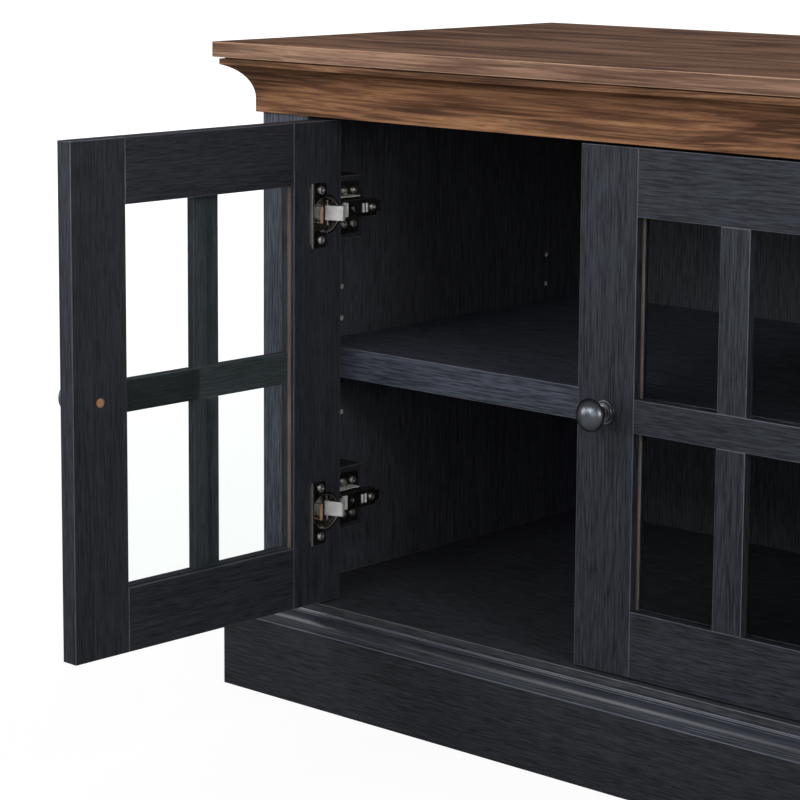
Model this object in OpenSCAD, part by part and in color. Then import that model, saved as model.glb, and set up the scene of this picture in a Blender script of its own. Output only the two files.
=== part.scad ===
// Media cabinet: two bays behind four glazed inset doors, on a moulded base.
// +X runs along the width, +Y towards the back panel and +Z up. The origin is
// on the floor, under the middle of the body.

/* [Body] */
// Width of the body over its side panels
body_w = 1512; // [1400:1:1800]
// Depth of the body, from the face frame to the back panel
body_d = 486; // [420:1:600]
// Height of the whole cabinet
total_h = 641; // [620:1:700]
// Thickness of the side panels, the partition and the face frame
panel_t = 18; // [16:0.5:22]
// Width of each stile of the face frame
stile_w = 60; // [50:1:90]
// Thickness of the bottom board
bottom_t = 15; // [12:0.5:20]
// How far the bottom board stands out past the body
bottom_over = 7; // [3:0.5:10]
// Thickness of the back panel
back_t = 3; // [3:0.5:6]
// Diameter of the cable holes in the back panel
cable_hole_d = 60; // [40:1:80]

/* [Top] */
// Thickness of the top board
top_t = 15; // [12:0.5:25]
// How far the top board stands out past the body
top_over = 35; // [32:1:50]
// How far the crown stands out past the body
crown_over = 30; // [24:1:32]
// Radius of the crown's cove
cove_r = 34; // [32:1:38]

/* [Base] */
// Height of the base boards
base_h = 73.6; // [60:0.1:78]
// How far the base boards stand out past the body
base_over = 28; // [26:1:34]
// Thickness of the base boards
base_t = 16; // [12:1:20]

/* [Shelves] */
// Thickness of each shelf
shelf_t = 30; // [18:1:36]
// Height of the pin row that carries the shelves
shelf_pin_z = 329; // [300:1:360]
// Distance between the rows of pin holes
pin_pitch = 32; // [25:1:40]
// Diameter of the shelf pins
pin_d = 5; // [4:0.5:6]

/* [Doors] */
// Height of each door
door_h = 470; // [460:1:480]
// Thickness of each door
door_t = 18; // [18:0.5:20]
// Width of each door's stiles
door_stile_w = 62; // [58:1:75]
// Height of each door's top and bottom rails
door_rail_h = 60; // [50:1:75]
// Width of the glazing bars
bar_w = 30; // [20:1:36]
// Gap around each door
door_gap = 2; // [2:0.5:3]
// Diameter of the knobs
knob_d = 30; // [24:1:34]
// How far the knobs stand out from the doors
knob_l = 31; // [26:1:36]
// How far the first door stands open, in degrees
open_angle = 92; // [0:1:92]

/* [Hinges] */
// Heights of the two hinges of each door
hinge_z_low = 190; // [170:1:210]
// Height of the upper hinge of each door
hinge_z_high = 480; // [440:1:500]
// Diameter of the hinge cups
cup_d = 35; // [35:0.5:36]
// Part of the door's turn that the link makes, the other way
link_share = 0.21848; // [0.215:0.001:0.222]

/* [Hidden] */
$fn = 48;
front = -body_d / 2;
back = body_d / 2;
slab_z = total_h - top_t;
floor_z = 98;
bottom_z = floor_z - bottom_t;
tongue = 6;
crown_z = 573;
crown_lip = 5;
cove_z = 586;
bay_w = (body_w - 3 * stile_w) / 2;
door_z = floor_z + door_gap;
door_w = (bay_w - 3 * door_gap) / 2;
ledge = 150;

// Side of the body and X of the stile edge that carries each door, doors 1 to 4
door_is_right = [false, true, false, true];
door_edge = [-body_w / 2 + stile_w, -stile_w / 2, stile_w / 2, body_w / 2 - stile_w];

// Pin holes: rows up the panels, columns back from the face frame's front
pin_rows = [for (k = [-2:2]) shelf_pin_z + k * pin_pitch];
pin_columns = [93, 417];
pin_depth = 8;
pin_out = 9;
shelf_gap = 1;
shelf_y = 45;
shelf_back_y = body_d - back_t - 1;

// Door details, from the door's hinge edge (u) and from its front face (v)
glass_v = 9;
glass_t = 4;
glass_lap = 6;
groove_d = 7;
groove_w = 4.3;
pane_z = door_z + door_rail_h;
pane_top = door_z + door_h - door_rail_h;
bar_z = (pane_z + pane_top) / 2;
knob_u = door_w - door_stile_w / 2;
knob_bore_r = 2.05;
knob_screw_r = 2;

// Hinge details in plan: x from the stile's edge towards the door, y back from
// the face frame's front
hinge_zs = [hinge_z_low, hinge_z_high];
cup_pin = [11, 8.5];
arm_pin = [10.7, 26.6];
hinge_pin_r = 1.5;
hinge_bore_r = 1.55;
cup_u = 21;
cup_v = 5.4;
cup_wall = 0.7;
cup_floor = 0.6;
flange_t = 1.2;
cup_screw_u = 27;
cup_screw_pitch = 48;
link_w = 14;
link_r = 17.6;
link_t = 3.6;
link_bar_t = 1.2;
arm_gap = 0.3;
cheek_t = 1.5;
cheek_in = link_w / 2 + arm_gap;
cheek_out = cheek_in + cheek_t;
arm_top = 16;
web_y = 33;
rail_end = 71;
arm_end = 87;
plate_t = 1.5;
plate_y = 42;
plate_h = 52;
rail_y = 36;
rail_top = 9;
block_h = 62;
block_d = 60;
plate_screw_ys = [50.5, 63.5];
plate_screw_z = 16.5;
clamp_y = 50;
tail_y = 75;

black = "#24262c";
satin_black = "#2c2e34";
walnut = "#5f3f2c";
nickel = "#bdb9b0";
gunmetal = "#4a4d50";
board = "#33302d";

DOOR_PIECES = ["hinge_stile", "knob_stile", "rails", "muntins", "glass", "knob",
    "hinge_cups", "screws", "hinge_links"];

// ---- shared shapes ----

// A box between two corners
module block(low, high) {
    translate(low) cube(high - low);
}

// Its child and the mirror image across the cabinet's middle
module both_sides() {
    children();
    mirror([1, 0, 0]) children();
}

// A flat rectangle with round corners, centred
module round_rect(w, h, r) {
    square([w - 2 * r, h], center = true);
    square([w, h - 2 * r], center = true);
    for (x = [-1, 1]) {
        for (y = [-1, 1]) {
            translate([x * (w / 2 - r), y * (h / 2 - r)]) circle(r);
        }
    }
}

// A profile run along the front, mitred at both corners. The profile's x is
// how far it stands out past the body
module along_front() {
    half = body_w / 2;
    intersection() {
        translate([-half - ledge, front, 0])
            rotate([90, 0, 90])
                linear_extrude(body_w + 2 * ledge) mirror([1, 0]) children();
        linear_extrude(total_h)
            polygon([
                [-half - ledge, front - ledge],
                [half + ledge, front - ledge],
                [half - ledge, front + ledge],
                [-half + ledge, front + ledge]
            ]);
    }
}

// The same profile run back along both sides, mitred at the front
module along_sides() {
    half = body_w / 2;
    both_sides() intersection() {
        translate([-half, back, 0])
            rotate([90, 0, 0])
                linear_extrude(body_d + ledge) mirror([1, 0]) children();
        linear_extrude(total_h)
            polygon([
                [-half - ledge, front - ledge],
                [-half + ledge, front + ledge],
                [-half + ledge, back],
                [-half - ledge, back]
            ]);
    }
}

// The plan of one door's hinge side, mirrored where the hinges are on the right
module at_hinge_side(n) {
    translate([door_edge[n - 1], front, 0]) {
        if (door_is_right[n - 1]) mirror([1, 0, 0]) children();
        else children();
    }
}

// A turn about an upright axis through a point of the plan
module turned_about(p, a) {
    translate([p.x, p.y, 0]) rotate(a) translate([-p.x, -p.y, 0]) children();
}

// The door that stands open, and the others, which are shut
function door_turn(n) = n == 1 ? open_angle : 0;

module link_place(n) {
    at_hinge_side(n) turned_about(arm_pin, door_turn(n) * link_share) children();
}

module door_place(n) {
    link_place(n)
        turned_about(cup_pin, -door_turn(n) * (1 + link_share))
            translate([door_gap, 0, 0]) children();
}

// A cross-headed screw along +Z, its head's underside at z = 0
module screw(shaft_r, shaft_l, head_r, head_t) {
    slot = head_r / 3;
    difference() {
        union() {
            translate([0, 0, -shaft_l]) cylinder(r = shaft_r, h = shaft_l + head_t / 2);
            cylinder(r = head_r, h = head_t);
        }
        for (a = [0, 90]) {
            rotate(a) translate([-head_r * 0.62, -slot / 2, head_t * 0.45])
                cube([head_r * 1.24, slot, head_t]);
        }
    }
}

// Turns +Z to point out of a door's back face, or in from a stile's edge
module facing_back() {
    rotate([-90, 0, 0]) children();
}

module facing_in() {
    rotate([0, 90, 0]) children();
}

// ---- top ----

module top_board() {
    color(walnut)
        block([-body_w / 2 - top_over, front - top_over, slab_z],
            [body_w / 2 + top_over, back, total_h]);
}

module crown_profile() {
    difference() {
        translate([0, crown_z]) square([crown_over, slab_z - crown_z]);
        translate([crown_lip, crown_z - 1]) square([crown_over, cove_z - crown_z + 1]);
        translate([crown_lip + cove_r, cove_z]) circle(cove_r, $fn = 96);
    }
}

module crown_front() {
    color(walnut) along_front() crown_profile();
}

module crown_returns() {
    color(walnut) along_sides() crown_profile();
}

// ---- body ----

// Pin holes sunk from a panel's face into the side that a points to
module pin_holes(face_x, a) {
    for (y = pin_columns) {
        for (z = pin_rows) {
            translate([face_x, front + y, z])
                rotate([0, a, 0]) translate([0, 0, -1]) cylinder(d = pin_d, h = pin_depth + 1);
        }
    }
}

module side_panel_left() {
    face_x = -body_w / 2 + panel_t;
    color(black) difference() {
        block([-body_w / 2, front + panel_t, floor_z], [face_x, back, slab_z]);
        pin_holes(face_x, -90);
    }
}

module side_panel_right() {
    mirror([1, 0, 0]) side_panel_left();
}

module centre_partition() {
    color(black) difference() {
        block([-panel_t / 2, front + panel_t, floor_z],
            [panel_t / 2, back - back_t, slab_z]);
        pin_holes(panel_t / 2, -90);
        pin_holes(-panel_t / 2, 90);
    }
}

module end_stiles() {
    color(black) both_sides()
        block([-body_w / 2, front, floor_z],
            [-body_w / 2 + stile_w, front + panel_t, slab_z]);
}

module centre_stile() {
    color(black)
        block([-stile_w / 2, front, floor_z], [stile_w / 2, front + panel_t, slab_z]);
}

module top_rails() {
    color(black) both_sides()
        block([stile_w / 2, front, crown_z],
            [body_w / 2 - stile_w, front + panel_t, slab_z]);
}

module bottom_board() {
    color(black)
        block([-body_w / 2 - bottom_over, front - bottom_over, bottom_z],
            [body_w / 2 + bottom_over, back, floor_z]);
}

module back_panel() {
    hole_x = (bay_w + stile_w) / 2;
    color(board) difference() {
        block([-body_w / 2 + panel_t, back - back_t, floor_z],
            [body_w / 2 - panel_t, back, slab_z]);
        both_sides() for (z = [200, 480]) {
            translate([hole_x, back - back_t - 1, z])
                facing_back() cylinder(d = cable_hole_d, h = back_t + 2);
        }
    }
}

// ---- shelves ----

module shelf_left() {
    x0 = -body_w / 2 + panel_t + shelf_gap;
    x1 = -panel_t / 2 - shelf_gap;
    rest_z = shelf_pin_z + pin_d / 2;
    under_z = rest_z - 19;
    notch_l = pin_out + 3;
    notch_w = pin_d + 2;
    color(black) difference() {
        block([x0, front + shelf_y, under_z], [x1, front + shelf_back_y, under_z + shelf_t]);
        for (y = pin_columns) {
            for (x = [x0 - 1, x1 - notch_l]) {
                translate([x, front + y - notch_w / 2, under_z - 1])
                    cube([notch_l + 1, notch_w, rest_z - under_z + 1]);
            }
        }
    }
}

module shelf_right() {
    mirror([1, 0, 0]) shelf_left();
}

module shelf_pins() {
    color(nickel) both_sides() for (y = pin_columns) {
        for (x = [-body_w / 2 + panel_t - pin_depth + 0.5, -panel_t / 2 - pin_out]) {
            translate([x, front + y, shelf_pin_z])
                facing_in() cylinder(d = pin_d, h = pin_depth + pin_out - 0.5);
        }
    }
}

// ---- base ----

module base_profile() {
    translate([base_over - base_t, 0]) square([base_t, base_h]);
}

module base_front() {
    color(black) along_front() base_profile();
}

module base_returns() {
    color(black) along_sides() base_profile();
}

// A tongue under the bottom board, a stepped top, a quarter round and a bevel
module moulding_profile() {
    round_r = 10;
    round_x = base_over - 15.5;
    round_z = base_h + 4.9;
    step_z = floor_z - bottom_over;
    polygon([
        [-tongue, base_h],
        [base_over - 1, base_h],
        [base_over - 1, base_h + 0.9],
        [base_over - 4, base_h + 3.7],
        [base_over - 5.5, base_h + 3.7],
        [base_over - 5.5, round_z],
        [round_x, round_z],
        [round_x, step_z - 1],
        [round_x - 2, step_z - 1],
        [round_x - 2, step_z],
        [bottom_over, step_z],
        [bottom_over, bottom_z],
        [-tongue, bottom_z]
    ]);
    intersection() {
        translate([round_x, round_z]) circle(round_r);
        translate([round_x, round_z]) square(round_r);
    }
}

module moulding_front() {
    color(satin_black) along_front() moulding_profile();
}

module moulding_returns() {
    color(satin_black) along_sides() moulding_profile();
}

// Carries the back of the bottom board; its top corners clear the moulding
module base_back_rail() {
    inner_x = body_w / 2 + base_over - base_t;
    color(black) difference() {
        block([-inner_x, back - base_t, 0], [inner_x, back, bottom_z]);
        both_sides()
            block([-inner_x - 1, back - base_t - 1, base_h],
                [-body_w / 2 + tongue, back + 1, total_h]);
    }
}

// Stands on the floor under the partition; its front end is cut under the moulding
module centre_support() {
    front_y = front - base_over + base_t;
    color(black) difference() {
        block([-panel_t / 2, front_y, 0], [panel_t / 2, back - base_t, bottom_z]);
        block([-panel_t, front_y - 1, base_h], [panel_t, front + tongue, total_h]);
    }
}

// ---- hinges on the body ----

// How far a hinge block reaches from the stile's edge to its panel
function block_depth(n) = (n == 1 || n == 4) ? stile_w - panel_t : (stile_w - panel_t) / 2;

module each_hinge() {
    for (n = [1:4]) {
        for (z = hinge_zs) {
            $door = n;
            at_hinge_side(n) translate([0, 0, z]) children();
        }
    }
}

module at_plate_screws() {
    for (y = plate_screw_ys) {
        for (z = [-plate_screw_z, plate_screw_z]) {
            translate([plate_t, y, z]) facing_in() children();
        }
    }
}

module hinge_blocks() {
    color(black) each_hinge() difference() {
        block([-block_depth($door), panel_t, -block_h / 2],
            [0, panel_t + block_d, block_h / 2]);
        at_plate_screws() translate([0, 0, -16]) cylinder(r = 1.75, h = 17);
    }
}

module hinge_plates() {
    color(nickel) each_hinge() difference() {
        union() {
            translate([0, (plate_y + rail_end) / 2, 0])
                facing_in() linear_extrude(plate_t)
                    round_rect(plate_h, rail_end - plate_y, 4);
            block([0, rail_y, -link_w / 2], [rail_top, rail_end, link_w / 2]);
        }
        at_plate_screws() translate([0, 0, -plate_t - 1]) cylinder(r = 1.9, h = plate_t + 2);
        translate([3, clamp_y, 0]) facing_in() cylinder(r = 2.05, h = rail_top);
    }
}

module arm_cheek() {
    nose_r = 4;
    translate(arm_pin) circle(nose_r);
    polygon([
        [arm_pin.x - nose_r, arm_pin.y],
        [arm_pin.x + nose_r, arm_pin.y],
        [arm_top, web_y],
        [arm_top, rail_end + 10],
        [arm_top - 4, rail_end + 10],
        [arm_pin.x - nose_r, rail_end]
    ]);
}

module hinge_arms() {
    tail_w = 12;
    head_t = 0.8;
    color(nickel) each_hinge() difference() {
        union() {
            for (z = [-cheek_out, cheek_in]) {
                translate([0, 0, z]) linear_extrude(cheek_t) arm_cheek();
            }
            block([arm_top - 1.5, web_y, -cheek_out], [arm_top, rail_end + 10, cheek_out]);
            block([arm_top - 1.5, rail_end, -tail_w / 2], [arm_top, arm_end, tail_w / 2]);
            translate([arm_pin.x, arm_pin.y, -cheek_out - head_t])
                cylinder(r = hinge_pin_r, h = 2 * (cheek_out + head_t));
            for (z = [-cheek_out - head_t, cheek_out]) {
                translate([arm_pin.x, arm_pin.y, z]) cylinder(r = 2.4, h = head_t);
            }
        }
        for (y = [clamp_y, tail_y]) {
            translate([arm_top - 3, y, 0]) facing_in() cylinder(r = 2.05, h = 6);
        }
    }
}

module hinge_screws() {
    color(nickel) each_hinge() {
        at_plate_screws() screw(1.7, 15, 3.8, 1.8);
        translate([arm_top, clamp_y, 0]) facing_in() screw(2, 12.5, 3.6, 2);
        translate([arm_top, tail_y, 0]) facing_in() screw(2, 5, 3.6, 2);
    }
}

// ---- doors ----

module hinge_stile(n) {
    color(black) door_place(n) difference() {
        block([0, 0, door_z], [door_stile_w, door_t, door_z + door_h]);
        block([door_stile_w - groove_d, glass_v, pane_z - groove_d],
            [door_stile_w + 1, glass_v + groove_w, pane_top + groove_d]);
        for (z = hinge_zs) {
            translate([cup_u, cup_v, z])
                facing_back() cylinder(d = cup_d + 0.2, h = door_t);
            for (s = [-1, 1]) {
                translate([cup_screw_u, 7, z + s * cup_screw_pitch / 2])
                    facing_back() cylinder(r = 1.95, h = door_t);
            }
        }
    }
}

module knob_stile(n) {
    color(black) door_place(n) difference() {
        block([door_w - door_stile_w, 0, door_z], [door_w, door_t, door_z + door_h]);
        block([door_w - door_stile_w - 1, glass_v, pane_z - groove_d],
            [door_w - door_stile_w + groove_d, glass_v + groove_w, pane_top + groove_d]);
        translate([knob_u, -1, bar_z]) facing_back() cylinder(r = 2.3, h = door_t + 2);
        translate([knob_u, door_t - 2.5, bar_z]) facing_back() cylinder(r = 4.4, h = 4);
    }
}

// Top and bottom rails and the bar between the panes
module rails(n) {
    u0 = door_stile_w;
    u1 = door_w - door_stile_w;
    color(black) door_place(n) {
        difference() {
            block([u0, 0, door_z], [u1, door_t, pane_z]);
            block([u0 - 1, glass_v, pane_z - groove_d],
                [u1 + 1, glass_v + groove_w, pane_z + 1]);
        }
        difference() {
            block([u0, 0, pane_top], [u1, door_t, door_z + door_h]);
            block([u0 - 1, glass_v, pane_top - 1],
                [u1 + 1, glass_v + groove_w, pane_top + groove_d]);
        }
        block([u0, 0, bar_z - bar_w / 2], [u1, glass_v, bar_z + bar_w / 2]);
    }
}

module muntins(n) {
    u = door_w / 2;
    color(black) door_place(n) {
        block([u - bar_w / 2, 0, pane_z], [u + bar_w / 2, glass_v, bar_z - bar_w / 2]);
        block([u - bar_w / 2, 0, bar_z + bar_w / 2], [u + bar_w / 2, glass_v, pane_top]);
    }
}

module glass(n) {
    color("#cfe3dc", 0.35) door_place(n)
        block([door_stile_w - glass_lap, glass_v, pane_z - glass_lap],
            [door_w - door_stile_w + glass_lap, glass_v + glass_t, pane_top + glass_lap]);
}

// A stepped rose, a waisted neck and a domed head, turned about +Z
module knob_shape() {
    head_r = knob_d / 2;
    dome_r = 18;
    dome_z = knob_l - dome_r;
    neck = knob_l - 10.5;
    rotate_extrude() difference() {
        union() {
            square([11, 1.8]);
            square([9.1, 3.2]);
            square([7.4, 4.6]);
            square([5, neck]);
            translate([0, neck - 2]) square([head_r - 2, 8]);
            intersection() {
                translate([0, dome_z]) circle(dome_r, $fn = 96);
                translate([0, neck]) square([head_r, 12]);
            }
            translate([head_r - 2, neck]) circle(2);
        }
        square([knob_bore_r, 10]);
        translate([-40, -1]) square([40, 60]);
    }
}

module knob(n) {
    color(gunmetal) door_place(n)
        translate([knob_u, 0, bar_z]) rotate([90, 0, 0]) knob_shape();
}

// A cup with its flange and the pin that the link turns on
module hinge_cup() {
    cup_r = cup_d / 2;
    mouth = door_t + flange_t;
    difference() {
        union() {
            translate([cup_u, cup_v, 0]) facing_back() cylinder(r = cup_r, h = door_t - cup_v);
            translate([cup_u, door_t, 0]) facing_back() cylinder(r = 19.5, h = flange_t);
            translate([30.5, door_t, 0])
                facing_back() linear_extrude(flange_t) round_rect(21, block_h, 4);
        }
        translate([cup_u, cup_v + cup_floor, 0])
            facing_back() cylinder(r = cup_r - cup_wall, h = door_t);
        block([-1, cup_v + 2.6, -7.5], [9, mouth + 1, 7.5]);
        for (s = [-1, 1]) {
            translate([cup_screw_u, door_t - 1, s * cup_screw_pitch / 2])
                facing_back() cylinder(r = 2.1, h = 4);
        }
    }
    translate([cup_pin.x - door_gap, cup_pin.y, -12]) cylinder(r = hinge_pin_r, h = 24);
}

module hinge_cups(n) {
    color(nickel) door_place(n) for (z = hinge_zs) translate([0, 0, z]) hinge_cup();
}

module door_screws(n) {
    color(nickel) door_place(n) {
        for (z = hinge_zs) {
            for (s = [-1, 1]) {
                translate([cup_screw_u, door_t + flange_t, z + s * cup_screw_pitch / 2])
                    facing_back() screw(1.9, 12, 4, 1.8);
            }
        }
        translate([knob_u, door_t - 2.5, bar_z]) facing_back() screw(knob_screw_r, 24, 3.9, 2.2);
    }
}

// The hooked link: an eye on each pin and an arc that clears the door's edge
module link_plan() {
    arc_in = link_r - link_t;
    difference() {
        union() {
            translate(cup_pin) intersection() {
                difference() {
                    circle(link_r, $fn = 96);
                    circle(arc_in, $fn = 96);
                }
                polygon([[0, 0], [40, -5.62], [40, 40], [1.4, 40]]);
            }
            translate(cup_pin + [0, -2.2]) square([16.2, link_bar_t]);
            translate(cup_pin) circle(2.2);
            translate(arm_pin) circle(4.2);
        }
        translate(cup_pin) circle(hinge_bore_r);
        translate(arm_pin) circle(hinge_bore_r);
    }
}

module hinge_links(n) {
    color(nickel) link_place(n) for (z = hinge_zs) {
        translate([0, 0, z - link_w / 2]) linear_extrude(link_w) link_plan();
    }
}

// ---- what is drawn ----

top_board();
crown_front();
crown_returns();
side_panel_left();
side_panel_right();
centre_partition();
end_stiles();
centre_stile();
top_rails();
bottom_board();
back_panel();
shelf_left();
shelf_right();
shelf_pins();
base_front();
base_returns();
moulding_front();
moulding_returns();
base_back_rail();
centre_support();
hinge_blocks();
hinge_plates();
hinge_arms();
hinge_screws();
for (n = [1:4]) {
    hinge_stile(n);
    knob_stile(n);
    rails(n);
    muntins(n);
    glass(n);
    knob(n);
    hinge_cups(n);
    door_screws(n);
    hinge_links(n);
}
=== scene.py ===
import bpy
import bmesh
import math
import random
from mathutils import Matrix, Vector


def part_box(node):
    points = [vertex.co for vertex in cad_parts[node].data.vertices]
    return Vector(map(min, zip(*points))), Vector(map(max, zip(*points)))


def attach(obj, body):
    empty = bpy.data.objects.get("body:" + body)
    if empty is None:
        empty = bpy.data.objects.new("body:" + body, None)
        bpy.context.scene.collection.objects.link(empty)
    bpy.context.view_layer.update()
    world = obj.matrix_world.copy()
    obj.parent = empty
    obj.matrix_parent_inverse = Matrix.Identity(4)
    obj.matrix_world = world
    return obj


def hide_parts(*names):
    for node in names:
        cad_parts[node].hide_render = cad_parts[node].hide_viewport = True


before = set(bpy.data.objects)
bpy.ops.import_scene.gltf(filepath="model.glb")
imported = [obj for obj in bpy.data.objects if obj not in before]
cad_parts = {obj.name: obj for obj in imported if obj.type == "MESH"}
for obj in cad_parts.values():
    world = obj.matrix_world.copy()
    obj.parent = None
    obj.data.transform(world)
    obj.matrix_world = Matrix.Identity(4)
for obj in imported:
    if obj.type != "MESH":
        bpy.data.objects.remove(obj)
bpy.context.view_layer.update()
print("frame loaded:", len(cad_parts), "nodes")

camera = {  # where it stands, in metres and degrees
    "place": (1.0808, -2.0713, 0.7961),
    "yaw": 42.171,    # turned to the left of straight in
    "pitch": 8.35,    # looking down
    "roll": 0.354,
    "lens": 120.11,
    "rise": -0.16,    # lens shift, so that the uprights stay nearly straight
    "sensor": 36,
    "near": 0.05,
    "far": 60,
}


def makeCamera(c):
    yaw, pitch, roll = (math.radians(c[k]) for k in ("yaw", "pitch", "roll"))
    level = math.cos(pitch)
    ahead = Vector((-math.sin(yaw) * level, math.cos(yaw) * level, -math.sin(pitch)))
    right = Vector((math.cos(yaw), math.sin(yaw), 0))
    up = right.cross(ahead)
    right, up = (math.cos(roll) * right + math.sin(roll) * up,
                 math.cos(roll) * up - math.sin(roll) * right)
    lens = bpy.data.cameras.new("camera")
    lens.sensor_width = c["sensor"]
    lens.lens = c["lens"]
    lens.shift_y = c["rise"]
    lens.clip_start, lens.clip_end = c["near"], c["far"]
    stand = bpy.data.objects.new("camera", lens)
    bpy.context.scene.collection.objects.link(stand)
    turn = Matrix((right, up, -ahead)).transposed().to_4x4()
    stand.matrix_world = Matrix.Translation(c["place"]) @ turn
    bpy.context.scene.camera = stand


makeCamera(camera)
print("camera placed")


def paint(red, green, blue):
    # a colour from 0 to 255, as the shaders want it
    def linear(v):
        v /= 255
        return v / 12.92 if v <= 0.04045 else ((v + 0.055) / 1.055) ** 2.4
    return (linear(red), linear(green), linear(blue), 1)


class Wire:
    # one output of a shader, which sums can be done on
    def __init__(self, shade, socket):
        self.shade, self.socket = shade, socket

    def maths(self, kind, *values):
        return self.shade.add("ShaderNodeMath", {"operation": kind}, dict(enumerate(values)))

    def __add__(self, other):
        return self.maths("ADD", self, other)

    def __radd__(self, other):
        return self.maths("ADD", other, self)

    def __sub__(self, other):
        return self.maths("SUBTRACT", self, other)

    def __rsub__(self, other):
        return self.maths("SUBTRACT", other, self)

    def __mul__(self, other):
        return self.maths("MULTIPLY", self, other)

    def __rmul__(self, other):
        return self.maths("MULTIPLY", other, self)

    def __pow__(self, other):
        return self.maths("POWER", self, other)

    def sine(self):
        return self.maths("SINE", self)


class Shade:
    # the nodes of one material, or of the world
    def __init__(self, owner):
        self.owner = owner
        owner.use_nodes = True
        self.tree = owner.node_tree
        self.tree.nodes.clear()

    def add(self, kind, settings=None, sockets=None, out=0):
        node = self.tree.nodes.new(kind)
        for key, value in (settings or {}).items():
            if key == "stops":
                ramp = node.color_ramp
                while len(ramp.elements) < len(value):
                    ramp.elements.new(0.5)
                for stop, (place, colour) in zip(ramp.elements, value):
                    stop.position, stop.color = place, colour
            else:
                setattr(node, key, value)
        for key, value in (sockets or {}).items():
            if isinstance(value, Wire):
                self.tree.links.new(value.socket, node.inputs[key])
            else:
                node.inputs[key].default_value = value
        return Wire(self, node.outputs[out]) if len(node.outputs) else node

    def noise(self, place, scale=1.0, detail=2.0, rough=0.5, bend=0.0):
        return self.add("ShaderNodeTexNoise", {}, {
            "Vector": place, "Scale": scale, "Detail": detail, "Roughness": rough, "Distortion": bend})

    def vector(self, x, y, z):
        return self.add("ShaderNodeCombineXYZ", {}, {"X": x, "Y": y, "Z": z})

    def parts(self, place):
        split = self.add("ShaderNodeSeparateXYZ", {}, {0: place})
        node = split.socket.node
        return [Wire(self, node.outputs[k]) for k in range(3)]

    def ramp(self, value, stops):
        return self.add("ShaderNodeValToRGB", {"stops": stops}, {"Fac": value})

    def fade(self, value, low, high, start=0.0, end=1.0):
        # goes from start to end as value goes from low to high
        return self.add("ShaderNodeMapRange", {"clamp": True, "interpolation_type": "SMOOTHSTEP"}, {
            "Value": value, "From Min": low, "From Max": high, "To Min": start, "To Max": end})

    def spread(self, value, middle, reach, low=0.3, high=0.7):
        # a roughness that varies by reach to both sides of its middle
        return self.fade(value, low, high, middle + reach, middle - reach)

    def blend(self, share, first, second):
        return self.add("ShaderNodeMix", {"data_type": "RGBA", "clamp_factor": True},
                        {0: share, 6: first, 7: second}, 2)

    def join(self, share, first, second):
        return self.add("ShaderNodeMixShader", {}, {0: share, 1: first, 2: second})

    def ray(self, kind):
        return self.add("ShaderNodeLightPath", {}, {}, kind)

    def grain(self):
        # each board's own place along, across and through its grain
        return self.add("ShaderNodeAttribute", {"attribute_name": "grainPlace"}, {}, "Vector")

    def place(self):
        return self.add("ShaderNodeTexCoord", {}, {}, "Object")

    def bump(self, height, depth, strength=1.0):
        return self.add("ShaderNodeBump", {}, {"Height": height, "Distance": depth, "Strength": strength})

    def surface(self, **sockets):
        named = {key.replace("_", " "): value for key, value in sockets.items()}
        return self.add("ShaderNodeBsdfPrincipled", {}, named)

    def finish(self, shader, kind="Material"):
        self.add("ShaderNodeOutput" + kind, {}, {"Surface": shader})
        return self.owner


def newMaterial(name):
    return Shade(bpy.data.materials.new(name))


laminate = {  # the black wood-grain finish of the doors' fronts, its blue tint a painted cool sheen
    "dark": (28, 30, 35),
    "light": (59, 62, 72),
    "lines": 900,      # embossed lines per metre across the grain
    "dashes": 48,      # and along it
    "clouds": 34,      # soft lighter and darker bands per metre
    "sway": 0.003,     # how far the lines wander
    "depth": 0.00008,
    "rough": 0.47,
    "shine": 0.16,
}
plainLaminate = {**laminate, "dark": (31, 32, 36), "light": (56, 58, 64)}
# a lighter copy of the laminate for the inside boards: painted light where little light reaches
litInsideLaminate = {**laminate, "dark": (46, 47, 51), "light": (79, 81, 88)}
# a lighter, bluer copy of the laminate for shelves, stiles and top rails: painted light
litShelfLaminate = {**laminate, "dark": (44, 47, 55), "light": (90, 95, 108)}
# the bars' backs, seen through the glass: lighter and greener, painted light and glass tint
barLaminate = {**laminate, "dark": (58, 64, 67), "light": (86, 93, 97)}


def blackGrain(name, c, edge=None):
    s = newMaterial(name)
    x, y, z = s.parts(s.grain())
    wave = s.noise(s.vector(x * 4, y * 7, z * 7), 1, 1)
    drift = (wave - 0.5) * c["sway"]
    across, through = y + drift, z + drift
    broad = s.noise(s.vector(x * 1.8, across * c["clouds"], through * c["clouds"]), 1, 2)
    dash = s.noise(s.vector(x * c["dashes"], across * c["lines"], through * c["lines"]), 1, 1)
    wide = c["lines"] * 0.55
    line = s.noise(s.vector(x * 8, across * wide, through * wide), 1, 1)
    ridge = s.fade(dash, 0.34, 0.66)
    tone = ridge * 0.66 + s.fade(line, 0.36, 0.64) * 0.3 + broad * 0.3 - 0.13
    colour = s.blend(tone, paint(*c["dark"]), paint(*c["light"]))
    # the eased arrises are blended towards a lighter colour, varied at random along the grain: a painted
    # highlight
    if edge:
        arrisHighlight = s.fade(broad + dash * 0.4, 0.5, 0.9, 0.45, 0.95)
        colour = s.blend(arrisHighlight, colour, paint(*edge))
    shader = s.surface(
        Base_Color=colour,
        Roughness=s.spread(dash, c["rough"], 0.07),
        Specular_IOR_Level=c["shine"],
        Normal=s.bump(ridge * 0.7 + line * 0.3, c["depth"], 0.8),
    )
    return s.finish(shader)


satin = {  # the base moulding's smooth black, and a lighter copy for its narrow arris strips, a painted highlight
    "dark": (40, 43, 51),
    "light": (62, 66, 77),
    "lines": 700,
    "sway": 0.004,
    "rough": 0.32,
    "shine": 0.5,
}
# a lighter satin for the moulding's arris strips: painted highlight lines
satinHighlight = {**satin, "dark": (88, 92, 102), "light": (116, 120, 130), "rough": 0.3}


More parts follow.
